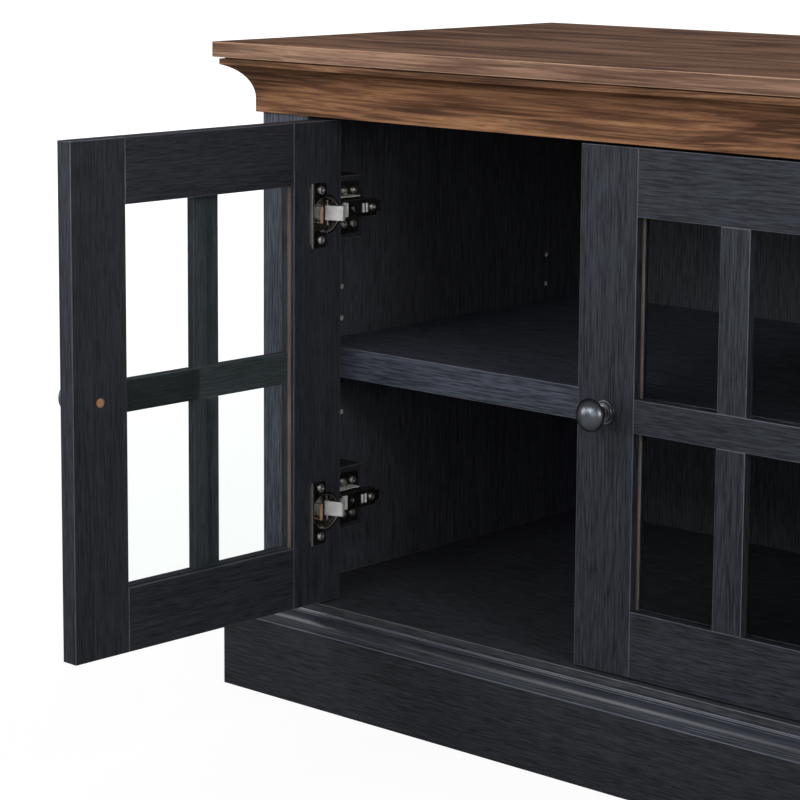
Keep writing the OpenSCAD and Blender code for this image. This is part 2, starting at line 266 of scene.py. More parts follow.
def satinBlack(name, c):
    s = newMaterial(name)
    x, y, z = s.parts(s.grain())
    wave = s.noise(s.vector(x * 5, y * 20, z * 20), 1, 1)
    drift = (wave - 0.5) * c["sway"]
    line = s.noise(s.vector(x * 30, (y + drift) * c["lines"], (z + drift) * c["lines"]), 1, 2)
    broad = s.noise(s.vector(x * 3, y * 30, z * 30), 1, 2)
    tone = s.fade(line * 0.6 + broad * 0.4, 0.35, 0.65)
    shader = s.surface(
        Base_Color=s.blend(tone, paint(*c["dark"]), paint(*c["light"])),
        Roughness=s.spread(broad, c["rough"], 0.05),
        Specular_IOR_Level=c["shine"],
        Normal=s.bump(line, 0.00004, 0.6),
    )
    return s.finish(shader)


walnutTop = {
    "deep": (64, 48, 41),
    "mid": (108, 82, 68),
    "pale": (148, 114, 94),
    "figure": 5.0,     # growth rings seen across the boards' figure
    "veins": 0.35,
    "sway": 0.03,
    "bands": 34,       # bands, streaks, fibres and pores per metre across the grain
    "streaks": 330,
    "fibres": 900,
    "pores": 1300,
    "rough": 0.42,
}
# walnutEdge is a lighter copy for the top board's front and end faces: painted light, with fewer veins
walnutEdge = {**walnutTop, "deep": (82, 60, 48), "mid": (128, 99, 82), "pale": (178, 143, 119),
              "veins": 0.15}
walnutCrown = {**walnutTop, "deep": (56, 38, 28), "mid": (108, 76, 56), "pale": (160, 118, 86),
               "veins": 0.32, "rough": 0.45}


def walnut(name, c, highlightLift=0.0):
    s = newMaterial(name)
    x, y, z = s.parts(s.grain())
    sway = s.noise(s.vector(x * 1.8, y * 4, z * 4), 1, 2)
    drift = (sway - 0.5) * c["sway"]
    across, through = y + drift, z + drift

    def along(stretch, pitch, *settings):
        return s.noise(s.vector(x * stretch, across * pitch, through * pitch), 1, *settings)

    hill = along(2.4, 11, 2, 0.45, 0.2) * 6.2832 * c["figure"]
    rings = hill.sine() * 0.5 + 0.5
    long = along(0.9, c["bands"], 2, 0.55)
    streak = s.fade(along(8, c["streaks"], 2, 0.6), 0.32, 0.68)
    fine = along(40, c["fibres"], 1, 0.6)
    # highlightLift lightens the whole tone: a painted highlight, used for the top board's arrises
    tone = rings * 0.14 + long * 0.5 + streak * 0.3 + fine * 0.24 - 0.09 + highlightLift
    colour = s.ramp(tone, [(0.2, paint(*c["deep"])), (0.5, paint(*c["mid"])), (0.8, paint(*c["pale"]))])
    vein = s.fade(rings + (streak - 0.5) * 0.5, 0.02, 0.2, 1, 0) * c["veins"]
    colour = s.blend(vein, colour, paint(*c["deep"]))
    pore = s.fade(along(60, c["pores"], 1), 0.58, 0.74, 0, 0.45)
    colour = s.blend(pore, colour, paint(*c["deep"]))
    shader = s.surface(
        Base_Color=colour,
        Roughness=s.spread(fine, c["rough"], 0.06),
        Specular_IOR_Level=0.0,
        Coat_Weight=0.1,
        Coat_Roughness=0.32,
        Normal=s.bump(fine * 0.6 + streak * 0.4, 0.00006, 0.6),
    )
    return s.finish(shader)


pane = {
    "tint": (253, 255, 254),
    "shade": (126, 133, 131),    # what the pane lets through of the lamps' light
    "sheen": (0.92, 0.97, 0.96, 1),
    "gloss": 0.02,
    "mirror": 0.02,
    "bending": 1.45,
}


def clearGlass(name, c):
    s = newMaterial(name)
    speck = s.noise(s.place(), 35, 2)
    clear, dim = (s.add("ShaderNodeBsdfTransparent", {}, {"Color": paint(*c[k])}) for k in ("tint", "shade"))
    through = s.join(s.ray("Is Shadow Ray"), clear, dim)
    gloss = s.fade(speck, 0.3, 0.7, c["gloss"], c["gloss"] + 0.03)
    mirror = s.add("ShaderNodeBsdfGlossy", {}, {"Color": c["sheen"], "Roughness": gloss})
    share = s.add("ShaderNodeFresnel", {}, {"IOR": c["bending"]}) * c["mirror"]
    return s.finish(s.join(share, through, mirror))


metals = {  # name, colour, roughness, how much rougher where handled, how brushed, how metallic
    # nickel is darker than real nickel: painted shade on the hinges' flat faces, against brightNickel on
    # their eased edges as painted highlight rims
    "nickel": ("nickel", (150, 147, 141), 0.2, 0.12, 0.3, 1.0),
    "brightNickel": ("brightNickel", (238, 236, 230), 0.3, 0.1, 0.2, 1.0),
    "steel": ("pinSteel", (190, 190, 188), 0.25, 0.12, 0.5, 1.0),
    # polished is near white and only partly metal: a painted highlight for the links and the hinges' trims
    "polished": ("glintWhiteNickel", (254, 254, 252), 0.18, 0.06, 0.1, 0.3),
    "copper": ("copperSpring", (238, 176, 128), 0.3, 0.1, 0.3, 0.4),
    "gunmetal": ("gunmetal", (126, 131, 138), 0.3, 0.06, 0.1, 1.0),
}


def shaded(colour, share):
    return tuple(v * share for v in colour[:3]) + (1,)


def metal(name, colour, rough, wear, brushed, metallic):
    s = newMaterial(name)
    place = s.place()
    x, y, z = s.parts(place)
    cloud = s.noise(place, 90, 2)
    line = s.noise(s.vector(x * 900, y * 900, z * 60), 1, 1)
    colour = paint(*colour)
    shader = s.surface(
        Base_Color=s.blend(s.fade(cloud, 0.3, 0.75), colour, shaded(colour, 0.72)),
        Metallic=metallic,
        Roughness=s.fade(cloud, 0.3, 0.7, rough, rough + wear),
        Normal=s.bump(line * brushed + cloud * 0.4, 0.00003, 0.5),
    )
    return s.finish(shader)


fibres = {  # name, colour, how deep its fibres stand, roughness
    "sleeve": ("paleSleeve", (226, 226, 222), 0.00003, 0.5),
    "rawBoard": ("rawBoard", (214, 192, 176), 0.0001, 0.85),
}


def fibreBoard(name, colour, depth, rough):
    s = newMaterial(name)
    place = s.place()
    fleck = s.noise(place, 900, 3, 0.7)
    cloud = s.noise(place, 14, 2)
    colour = paint(*colour)
    tone = s.fade(fleck * 0.7 + cloud * 0.3, 0.35, 0.65)
    shader = s.surface(
        Base_Color=s.blend(tone, shaded(colour, 0.55), colour),
        Roughness=s.fade(fleck, 0.3, 0.7, rough, rough + 0.1),
        Specular_IOR_Level=0.25,
        Normal=s.bump(fleck, depth, 0.6),
    )
    return s.finish(shader)


finishes = {
    "black": blackGrain("blackGrain", laminate),
    # the Edge finishes paint a highlight along each board's eased arrises
    "blackEdge": blackGrain("blackGrainEdge", laminate, (104, 107, 116)),
    "plain": blackGrain("plainBlack", plainLaminate),
    "plainEdge": blackGrain("plainBlackEdge", plainLaminate, (104, 102, 104)),
    "inside": blackGrain("insideBlack", litInsideLaminate),
    "insideEdge": blackGrain("insideBlackEdge", litInsideLaminate, (120, 119, 120)),
    "shelf": blackGrain("shelfGrain", litShelfLaminate),
    "shelfEdge": blackGrain("shelfGrainEdge", litShelfLaminate, (118, 122, 132)),
    "barBack": blackGrain("barBack", barLaminate),
    "satin": satinBlack("satinBlack", satin),
    "satinHighlight": satinBlack("satinHighlight", satinHighlight),
    "walnutTop": walnut("walnutTop", walnutTop),
    "walnutEdge": walnut("walnutEdge", walnutEdge),
    # walnutArris is walnutEdge lifted lighter: the painted highlight on the top board's eased arrises
    "walnutArris": walnut("walnutArris", walnutEdge, 0.4),
    "walnutCrown": walnut("walnutCrown", walnutCrown),
    "glass": clearGlass("clearGlass", pane),
    **{key: metal(*values) for key, values in metals.items()},
    **{key: fibreBoard(*values) for key, values in fibres.items()},
}
print("finishes made:", len(finishes))

# where the body and the hinges are
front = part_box("end_stiles")[0][1]
bodyHalf = 0.756
back = 0.243
hinges = {
    "edges": {1: (-0.696, 1), 2: (-0.030, -1), 3: (0.030, 1), 4: (0.696, -1)},
    "heights": (0.190, 0.480),
    "cupPin": (0.011, 0.0085),
    "armPin": (0.0107, 0.0266),
    "open": {1: 92, 2: 0, 3: 0, 4: 0},
    "linkShare": 0.21848,    # the part of a door's turn that its links make
    "gap": 0.002,            # from the stile to the door
}


def turnAbout(point, degrees):
    place = Vector((point[0], point[1], 0))
    turn = Matrix.Rotation(math.radians(degrees), 4, "Z")
    return Matrix.Translation(place) @ turn @ Matrix.Translation(-place)


def hingePlace(n):
    edge, side = hinges["edges"][n]
    return Matrix.Translation((edge, front, 0)) @ Matrix.Diagonal((side, 1, 1, 1))


def linkPlace(n):
    return hingePlace(n) @ turnAbout(hinges["armPin"], hinges["open"][n] * hinges["linkShare"])


def doorPlace(n):
    turn = -hinges["open"][n] * (1 + hinges["linkShare"])
    return linkPlace(n) @ turnAbout(hinges["cupPin"], turn) @ Matrix.Translation((hinges["gap"], 0, 0))


def bodyOf(node):
    if node.startswith("door"):
        return ("link" if node.endswith("hinge_links") else "door") + node[4]
    return "cabinet"


grainWays = {  # along, across and through the board
    "up": ((0, 0, 1), (1, 0, 0), (0, 1, 0)),
    "wide": ((1, 0, 0), (0, 0, 1), (0, 1, 0)),
    "deep": ((0, 1, 0), (0, 0, 1), (1, 0, 0)),
    "flat": ((1, 0, 0), (0, 1, 0), (0, 0, 1)),
}


def islands(work):
    # the separate boards in one mesh
    work.verts.index_update()
    seen, groups = set(), []
    for first in work.verts:
        if first.index in seen:
            continue
        seen.add(first.index)
        group, waiting = [], [first]
        while waiting:
            v = waiting.pop()
            group.append(v)
            for e in v.link_edges:
                other = e.other_vert(v)
                if other.index not in seen:
                    seen.add(other.index)
                    waiting.append(other)
        groups.append(group)
    return groups


def layGrain(work, name, way, turn=None):
    # gives each board grain that runs along it and starts at its own place
    layer = work.verts.layers.float_vector.new("grainPlace")
    axes = [Vector(a) for a in grainWays[way]]
    if turn is not None:
        axes = [turn.to_3x3() @ a for a in axes]
    for k, group in enumerate(islands(work)):
        chance = random.Random(name + str(k))
        shift = Vector([chance.uniform(-4, 4) for _ in range(3)])
        for v in group:
            v[layer] = shift + Vector([a.dot(v.co) for a in axes])


def toMesh(name, work):
    mesh = bpy.data.meshes.new(name)
    work.to_mesh(mesh)
    work.free()
    return mesh


def meshPiece(name, work, body, finish, nodes=()):
    mesh = toMesh(name, work)
    if "custom_normal" in mesh.attributes:
        mesh.attributes.remove(mesh.attributes["custom_normal"])
    for f in finish:
        mesh.materials.append(finishes[f])
    piece = bpy.data.objects.new(name, mesh)
    bpy.context.scene.collection.objects.link(piece)
    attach(piece, body)
    if nodes:
        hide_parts(*nodes)
    return piece


arrises = {
    "merge": 0.000001,     # corners this near to each other are one
    "flat": 0.5,           # faces within this many degrees are one
    "sharp": 25,           # edges that turn further than this are eased
    "shortest": 0.004,     # where they are longer than this
    "steps": 2,
}
metalArrises = {**arrises, "shortest": 0.001}


def easedBoard(node, name, way, ease, finish, turn=None, rule=arrises, pick=None):
    # the node's own solid with its long arrises taken off
    work = bmesh.new()
    work.from_mesh(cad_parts[node].data)
    bmesh.ops.remove_doubles(work, verts=work.verts, dist=rule["merge"])
    bmesh.ops.dissolve_limit(work, angle_limit=math.radians(rule["flat"]), verts=work.verts, edges=work.edges)
    sharp = [e for e in work.edges
             if len(e.link_faces) == 2 and e.is_convex and e.calc_face_angle(0) > math.radians(rule["sharp"])
             and e.calc_length() > rule["shortest"]]
    bmesh.ops.bevel(work, geom=sharp, offset=ease, offset_type="OFFSET", segments=rule["steps"], profile=0.5,
                    affect="EDGES", clamp_overlap=False, material=1)
    for f in work.faces:
        f.smooth = False
        chosen = pick(f) if pick and f.material_index == 0 else None
        f.material_index = f.material_index if chosen is None else chosen
    layGrain(work, name, way, turn)
    return meshPiece(name, work, bodyOf(node), finish, [node])


carcass = {
    "ease": 0.0006,
    "backEase": 0.0002,
    "boards": {  # each piece's name, the way of its grain and its finish
        "side_panel_left": ("leftSide", "up", "inside"),
        "side_panel_right": ("rightSide", "up", "inside"),
        "centre_partition": ("partition", "up", "inside"),
        "end_stiles": ("endStiles", "up", "shelf"),
        "centre_stile": ("centreStile", "up", "shelf"),
        "top_rails": ("topRails", "wide", "shelf"),
        "bottom_board": ("bottomBoard", "flat", "inside"),
        "shelf_left": ("leftShelf", "flat", "shelf"),
        "shelf_right": ("rightShelf", "flat", "shelf"),
        "base_back_rail": ("backRail", "wide", "plain"),
        "centre_support": ("centreSupport", "deep", "plain"),
        "hinge_blocks": ("hingeBlocks", "up", "plain"),
    },
}
for node, (name, way, finish) in carcass["boards"].items():
    easedBoard(node, name, way, carcass["ease"], (finish, finish + "Edge"))
easedBoard("back_panel", "backPanel", "up", carcass["backEase"], ("inside", "inside"))
print("carcass boards made")

topBoard = {"ease": 0.0008, "finish": ("walnutTop", "walnutArris", "walnutEdge")}
# the top board's front and end faces take walnutEdge, painted lighter than the top as light falls on them
easedBoard("top_board", "topBoard", "flat", topBoard["ease"], topBoard["finish"],
           pick=lambda face: 2 if abs(face.normal.z) < 0.5 else 0)
print("top board made")


def softProfile(points, radius, steps=4):
    # rounds each corner of a closed outline of (out, up) points
    out = []
    for k, p in enumerate(points):
        p = Vector(p)
        before, after = Vector(points[k - 1]) - p, Vector(points[(k + 1) % len(points)]) - p
        reach = min(radius, before.length * 0.45, after.length * 0.45)
        if before.angle(after) > math.radians(160):    # part of a curve already
            out.append(p)
            continue
        a, b = p + before.normalized() * reach, p + after.normalized() * reach
        for j in range(steps + 1):
            t = j / steps
            out.append(a * (1 - t) ** 2 + p * 2 * t * (1 - t) + b * t ** 2)
    return out


arrisWidth = 0.0006    # strips narrower than this get a moulding's second finish, a painted highlight on its arrises


def runProfile(work, profile, side, marked):
    # side 0 runs along the front, -1 and 1 run back along the two sides
    def place(p, end):
        o, z = p
        if side == 0:
            return ((-1, 1)[end] * (bodyHalf + o), front - o, z)
        return (side * (bodyHalf + o), (front - o, back)[end], z)
    rings = [[work.verts.new(place(p, end)) for p in profile] for end in (0, 1)]
    count = len(profile)
    for k in range(count):
        j = (k + 1) % count
        face = work.faces.new((rings[0][k], rings[0][j], rings[1][j], rings[1][k]))
        face.smooth = True
        narrow = (Vector(profile[j]) - Vector(profile[k])).length < arrisWidth
        face.material_index = 1 if marked and narrow else 0
    for ring in rings:
        work.faces.new(ring).smooth = False
    bmesh.ops.recalc_face_normals(work, faces=work.faces)
    bmesh.ops.triangulate(work, faces=[f for f in work.faces if len(f.verts) > 4])


def markSharp(piece, degrees=14):
    piece.data.set_sharp_from_angle(angle=math.radians(degrees))


def profilePieces(name, profile, finish, nodes):
    runs = (("Front", (0,), "wide"), ("Returns", (-1, 1), "deep"))
    for (part, sides, way), node in zip(runs, nodes):
        work = bmesh.new()
        for side in sides:
            runProfile(work, profile, side, len(finish) > 1)
        layGrain(work, name + part, way)
        markSharp(meshPiece(name + part, work, "cabinet", finish, [node]))


crown = {
    "foot": 0.573,
    "lip": 0.005,
    "coveStart": 0.586,
    "coveRadius": 0.034,
    "coveSteps": 24,
    "reach": 0.030,
    "top": 0.626,
    "shadow": 0.0015,     # the gap under the top board, and how far in it starts
    "shadowIn": 0.004,
    "soft": 0.0004,
}


def crownProfile(c):
    points = [(0, c["foot"]), (c["lip"], c["foot"]), (c["lip"], c["coveStart"])]
    radius = c["coveRadius"]
    centre = c["lip"] + radius
    last = math.acos((centre - c["reach"]) / radius)
    for k in range(1, c["coveSteps"] + 1):
        a = last * k / c["coveSteps"]
        points.append((centre - radius * math.cos(a), c["coveStart"] + radius * math.sin(a)))
    low, inner = c["top"] - c["shadow"], c["reach"] - c["shadowIn"]
    points += [(c["reach"], low), (inner, low), (inner, c["top"]), (0, c["top"])]
    return softProfile(points, c["soft"])


profilePieces("crown", crownProfile(crown), ("walnutCrown",), ("crown_front", "crown_returns"))

base = {"height": 0.0736, "reach": 0.028, "thick": 0.016, "soft": 0.0006}


def baseProfile(c):
    inner, outer = c["reach"] - c["thick"], c["reach"]
    return softProfile([(inner, 0), (outer, 0), (outer, c["height"]), (inner, c["height"])], c["soft"])


profilePieces("base", baseProfile(base), ("plain",), ("base_front", "base_returns"))

capMoulding = {
    "tongue": 0.006,       # how far it goes in behind the bottom board
    "tongueTop": 0.083,
    "bead": ((0.001, 0.0736), (0.001, 0.0745), (0.004, 0.0773), (0.004, 0.076),
             (0.0055, 0.076), (0.0055, 0.0781)),    # in from the base's face, and up
    "round": 0.010,
    "roundAt": (0.0125, 0.0785),
    "roundTurn": range(0, 82, 4),
    "cap": ((0.0140, 0.0873), (0.0125, 0.0873), (0.0125, 0.090), (0.0105, 0.090), (0.0105, 0.091),
            (0.007, 0.091), (0.007, 0.083)),
    "soft": 0.0006,
}


def capProfile(c):
    out, up = c["roundAt"]
    turns = [math.radians(a) for a in c["roundTurn"]]
    points = [(-c["tongue"], base["height"])]
    points += [(base["reach"] - inward, z) for inward, z in c["bead"]]
    points += [(out + c["round"] * math.cos(a), up + c["round"] * math.sin(a)) for a in turns]
    points += [*c["cap"], (-c["tongue"], c["tongueTop"])]
    return softProfile(points, c["soft"], 2)


profilePieces("moulding", capProfile(capMoulding), ("satin", "satinHighlight"),
              ("moulding_front", "moulding_returns"))
print("mouldings made")

door = {
    "ease": 0.0006,
    "knobAt": 0.299,
    "barUp": 0.335,
    "groove": (0.0089, 0.0134),    # how far back the glass groove starts and ends
    "panes": (0.063, 0.267),       # where the stiles' inner edges are
    "screwHole": 0.006,
    "finish": ("black", "blackEdge", "rawBoard", "plain", "barBack"),
    "boards": (("hinge_stile", "HingeStile", "up"), ("knob_stile", "KnobStile", "up"),
               ("rails", "Rails", "wide"), ("muntins", "Muntins", "up")),
}


def doorPicks(n, c):
    # the glass groove is bare board; a door's back gets the plain laminate, without the front's painted blue
    # sheen, and the bars' backs, seen through the glass, a lighter, greener copy: painted light and glass
    # tint
    home = doorPlace(n).inverted()
    low, high = c["groove"]
    raw, backs, bars = (c["finish"].index(name) for name in ("rawBoard", "plain", "barBack"))

    def pick(face):
        spots = [home @ v.co for v in face.verts]
        if all(math.hypot(p.x - c["knobAt"], p.z - c["barUp"]) < c["screwHole"] for p in spots):
            return raw
        across, deep = [p.x for p in spots], [p.y for p in spots]
        inStile = max(across) < c["panes"][0] or min(across) > c["panes"][1]
        if min(deep) > low and max(deep) < high and inStile:
            return raw
        if (home.to_3x3() @ face.normal).y > 0.5:
            return bars if max(deep) < high else backs
        return None
    return pick


for n in range(1, 5):
    for part, name, way in door["boards"]:
        easedBoard(f"door{n}_{part}", f"door{n}{name}", way, door["ease"], door["finish"],
                   turn=doorPlace(n), pick=doorPicks(n, door))
    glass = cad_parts[f"door{n}_glass"]
    glass.data.materials.clear()
    glass.data.materials.append(finishes["glass"])
print("doors made")

knob = {
    "outline": [  # radius and distance from the door, in millimetres
        (11.0, 0), (11.0, 1.0), (10.6, 1.7), (9.9, 1.8), (9.1, 1.8), (9.1, 2.6), (8.6, 3.2), (7.9, 3.2),
        (7.4, 3.3), (7.4, 4.2), (6.9, 4.6), (6.2, 4.6), (5.2, 5.4), (4.8, 7.4), (4.7, 11.0), (4.8, 14.6),
        (5.2, 16.8), (6.4, 18.2), (8.6, 18.5), (11.4, 18.8), (13.6, 19.4), (14.8, 20.5), (15.0, 21.6),
        (14.6, 23.0), (13.4, 24.9), (11.6, 26.7), (9.2, 28.5), (6.4, 29.9), (3.2, 30.7), (0, 31.0),
    ],
    "sides": 72,
    "sharp": 40,
}


def lathe(work, outline, place, sides):
    # turns an outline of (radius, up) points about local z
    turns = [2 * math.pi * k / sides for k in range(sides)]
    rings = []
    for r, h in outline:
        spots = [(r * math.cos(t), r * math.sin(t), h) for t in turns] if r else [(0, 0, h)]
        rings.append([work.verts.new(place @ Vector(spot)) for spot in spots])
    for low, high in zip(rings, rings[1:]):
        for k in range(sides):
            j = (k + 1) % sides
            if len(low) == 1:
                corners = (low[0], high[j], high[k])
            elif len(high) == 1:
                corners = (low[k], low[j], high[0])
            else:
                corners = (low[k], low[j], high[j], high[k])
            work.faces.new(corners).smooth = True
    for ring in (rings[0], rings[-1]):
        if len(ring) > 1:
            work.faces.new(ring)


def makeKnob(n, c):
    work = bmesh.new()
    facing = Matrix.Rotation(math.radians(90), 4, "X")
    out = Matrix.Translation((door["knobAt"], 0, door["barUp"])) @ facing
    lathe(work, [(r / 1000, h / 1000) for r, h in c["outline"]], doorPlace(n) @ out, c["sides"])
    bmesh.ops.recalc_face_normals(work, faces=work.faces)
    piece = meshPiece(f"door{n}Knob", work, f"door{n}", ("gunmetal",), [f"door{n}_knob"])
    markSharp(piece, c["sharp"])


for n in range(1, 5):
    makeKnob(n, knob)
print("knobs made")

# cups, plates and arms: flat faces in the darkened nickel, eased edges in brightNickel, painted shade with
# painted highlight rims
hingeMetal = {"ease": 0.0003, "cups": ("nickel", "brightNickel"), "links": ("polished", "polished")}


def hingePart(node, name, finish, turn=None):
    easedBoard(node, name, "up", hingeMetal["ease"], finish, turn, metalArrises)


for n in range(1, 5):
    hingePart(f"door{n}_hinge_cups", f"door{n}HingeCups", hingeMetal["cups"], doorPlace(n))
    # the links take the near-white polished finish, a painted highlight
    hingePart(f"door{n}_hinge_links", f"door{n}HingeLinks", hingeMetal["links"], doorPlace(n))
hingePart("hinge_plates", "hingePlates", hingeMetal["cups"])
hingePart("hinge_arms", "hingeArms", hingeMetal["cups"])
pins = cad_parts["shelf_pins"]
pins.data.materials.clear()
pins.data.materials.append(finishes["steel"])


def slab(work, low, high, place, index=0):
    # a box between two corners, in a place of its own
    mid = [(a + b) / 2 for a, b in zip(low, high)]
    size = [b - a for a, b in zip(low, high)]
    shape = place @ Matrix.Translation(mid) @ Matrix.Diagonal((*size, 1))
    made = bmesh.ops.create_cube(work, size=1.0, matrix=shape)
    for face in {f for v in made["verts"] for f in v.link_faces}:
        face.material_index = index


hingeTrim = {
    "rim": ((0.0385, 0.0192, -0.031), (0.041, 0.0214, 0.031)),
    "spring": ((0.0241, 0.0180, -0.0082), (0.0275, 0.0188, 0.0082)),    # stands clear of the link's arc
    "springLeg": (0.0262, 0.0063, 0.0074),    # its outer side, its foot, and its distance from the middle
    # the lip, and the arms' nose, ribs and fin, are near-white polished slabs: painted highlights
    "lip": ((0.0230, 0.0176, -0.0160), (0.0340, 0.0190, -0.0150)),
    "bars": (0.0607, 0.0654),                 # how far back the arm's two small ribs are
    "bar": (0.0158, 0.0170, 0.0022, 0.0045),  # a rib's foot and top, its width and half its length
    "nose": ((0.0156, 0.0335, -0.0070), (0.0170, 0.0400, 0.0070)),
    "fin": ((0.0020, 0.0310, 0.0112), (0.0120, 0.0620, 0.0122)),
    "ease": 0.0003,
}


def easeTrim(work, ease, steps):
    bmesh.ops.recalc_face_normals(work, faces=work.faces)
    bmesh.ops.bevel(work, geom=work.edges[:], offset=ease, offset_type="OFFSET", segments=steps,
                    profile=0.5, affect="EDGES")


def trimDoor(n, c):
    work = bmesh.new()
    low, high = c["spring"]
    out, deep, off = c["springLeg"]
    for up in hinges["heights"]:
        place = doorPlace(n) @ Matrix.Translation((0, 0, up))
        slab(work, *c["rim"], place)
        slab(work, low, high, place, 1)
        for near, far in ((low[2], -off), (off, high[2])):
            slab(work, (low[0], deep, near), (out, high[1], far), place, 1)
        slab(work, *c["lip"], place, 2)
    easeTrim(work, c["ease"], 2)
    layGrain(work, f"trim{n}", "up")
    meshPiece(f"door{n}HingeTrim", work, f"door{n}", ("brightNickel", "copper", "polished"))


def trimArms(c):
    work = bmesh.new()
    foot, top, width, half = c["bar"]
    for n in range(1, 5):
        for up in hinges["heights"]:
            place = hingePlace(n) @ Matrix.Translation((0, 0, up))
            for y in c["bars"]:
                slab(work, (foot, y, -half), (top, y + width, half), place)
            slab(work, *c["nose"], place)
            slab(work, *c["fin"], place)
    easeTrim(work, c["ease"], 1)
    layGrain(work, "arms", "up")
    meshPiece("hingeArmTrim", work, "cabinet", ("polished",))


for n in range(1, 5):
    trimDoor(n, hingeTrim)
trimArms(hingeTrim)
print("hinges made")


def setOutTree():
    # a copy of the head on every point, turned to the point's aim and spun at random
    tree = bpy.data.node_groups.new("setOut", "GeometryNodeTree")
    tree.is_modifier = True

    def socket(name, kind, way="INPUT"):
        return tree.interface.new_socket(name, in_out=way, socket_type="NodeSocket" + kind).identifier

    kinds = {"Cloud": "Geometry", "Head": "Object", "Size": "Float", "Seed": "Int", "Finish": "Material"}
    ids = {name: socket(name, kind) for name, kind in kinds.items()}
    socket("Parts", "Geometry", "OUTPUT")

    def node(kind, settings=None, sockets=None):
        made = tree.nodes.new(kind)
        for key, value in (settings or {}).items():
            setattr(made, key, value)
        for key, value in (sockets or {}).items():
            if isinstance(value, bpy.types.NodeSocket):
                tree.links.new(value, made.inputs[key])
            else:
                made.inputs[key].default_value = value
        return made

    given = node("NodeGroupInput").outputs
    aim = node("GeometryNodeInputNamedAttribute", {"data_type": "FLOAT_VECTOR"}, {"Name": "aim"})
    facing = node("FunctionNodeAlignRotationToVector", {"axis": "Z"}, {"Vector": aim.outputs[0]})
    spin = node("FunctionNodeRandomValue", {"data_type": "FLOAT"}, {"Seed": given["Seed"]})
    spin.inputs[3].default_value = math.pi
    turn = node("FunctionNodeAxisAngleToRotation", {}, {"Axis": (0, 0, 1), "Angle": spin.outputs[1]})
    whole = node("FunctionNodeRotateRotation", {"rotation_space": "LOCAL"},
                 {"Rotation": facing.outputs[0], "Rotate By": turn.outputs[0]})
    head = node("GeometryNodeObjectInfo", {}, {"Object": given["Head"]})
    parts = node("GeometryNodeInstanceOnPoints", {}, {
        "Points": given["Cloud"], "Instance": head.outputs["Geometry"],
        "Rotation": whole.outputs[0], "Scale": given["Size"]})
    plain = node("GeometryNodeRealizeInstances", {}, {"Geometry": parts.outputs[0]})
    dressed = node("GeometryNodeSetMaterial", {},
                   {"Geometry": plain.outputs[0], "Material": given["Finish"]})
    node("NodeGroupOutput", {}, {"Parts": dressed.outputs[0]})
    return tree, ids


setOutNodes, setOutIds = setOutTree()


def setOut(work, head, spots, seed, finish, index=0, size=1.0):
    # adds a copy of the head at each (place, aim) to the mesh being made
    before = len(work.faces)
    cloud = bpy.data.meshes.new("cloud")
    cloud.from_pydata([place for place, aim in spots], [], [])
    aims = cloud.attributes.new("aim", "FLOAT_VECTOR", "POINT")
    for k, (place, aim) in enumerate(spots):
        aims.data[k].vector = aim
    carrier = bpy.data.objects.new("cloud", cloud)
    pattern = bpy.data.objects.new("pattern", head)
    for thing in (carrier, pattern):
        bpy.context.scene.collection.objects.link(thing)
    rule = carrier.modifiers.new("setOut", "NODES")
    rule.node_group = setOutNodes
    given = {"Head": pattern, "Size": size, "Seed": seed, "Finish": finishes[finish]}
    for name, value in given.items():
        rule[setOutIds[name]] = value
    graph = bpy.context.evaluated_depsgraph_get()
    made = bpy.data.meshes.new_from_object(carrier.evaluated_get(graph))
    carrier.modifiers.remove(rule)
    for thing in (carrier, pattern):
        bpy.data.objects.remove(thing)
    work.from_mesh(made)
    work.faces.ensure_lookup_table()
    for face in work.faces[before:]:
        face.material_index = index
    bpy.data.meshes.remove(made)


def headMesh(name, work):
    bmesh.ops.recalc_face_normals(work, faces=work.faces)
    mesh = toMesh(name, work)
    mesh.set_sharp_from_angle(angle=math.radians(30))
    return mesh


screwHead = {
    "sides": 32,
    "dome": ((1, 0), (1, 0.35), (0.95, 0.7), (0.8, 1)),    # shares of the head's radius and height
    "tip": 0.6,         # share of the shaft's radius at its end
    "taper": 0.001,
    "slot": 0.15,       # half the cross's width, and its reach
    "reach": 0.52,
    "slotFoot": 0.7,
    "slotFloor": 0.25,
}


def screwMesh(headR, headH, shaftR, shaftL):
    # a cross-headed screw along z, its head's underside at 0
    c, work = screwHead, bmesh.new()
    shaft = [(0, -shaftL), (shaftR * c["tip"], -shaftL), (shaftR, -shaftL + c["taper"]), (shaftR, 0)]
    lathe(work, shaft + [(headR * r, headH * h) for r, h in c["dome"]], Matrix(), c["sides"])
    cap = next(f for f in work.faces if len(f.verts) == c["sides"])
    rim = list(cap.edges)
    bmesh.ops.delete(work, geom=[cap], context="FACES_ONLY")
    w, r = headR * c["slot"], headR * c["reach"]
    arm = [(w, w), (w, r), (-w, r)]
    cross = list(arm)
    for _ in range(3):    # a quarter turn at a time
        arm = [(-y, x) for x, y in arm]
        cross += arm
    foot = c["slotFoot"]
    high = [work.verts.new((x, y, headH)) for x, y in cross]
    low = [work.verts.new((x * foot, y * foot, headH * c["slotFloor"])) for x, y in cross]
    edges = [work.edges.new((high[k - 1], high[k])) for k in range(len(high))]
    bmesh.ops.triangle_fill(work, use_beauty=True, edges=rim + edges)
    for k in range(len(high)):
        work.faces.new((high[k - 1], high[k], low[k], low[k - 1])).smooth = False
    work.faces.new(low)
    bmesh.ops.triangulate(work, faces=[f for f in work.faces if len(f.verts) > 4])
    return headMesh("screw", work)


def sleeveMesh(outer, inner, deep, floor, sides=24):
    # a lining for a pin hole, its mouth at 0
    work = bmesh.new()
    outline = [(outer, -deep), (outer, 0), (inner, 0), (inner, -floor), (0, -floor)]
    lathe(work, outline, Matrix(), sides)
    return headMesh("sleeve", work)


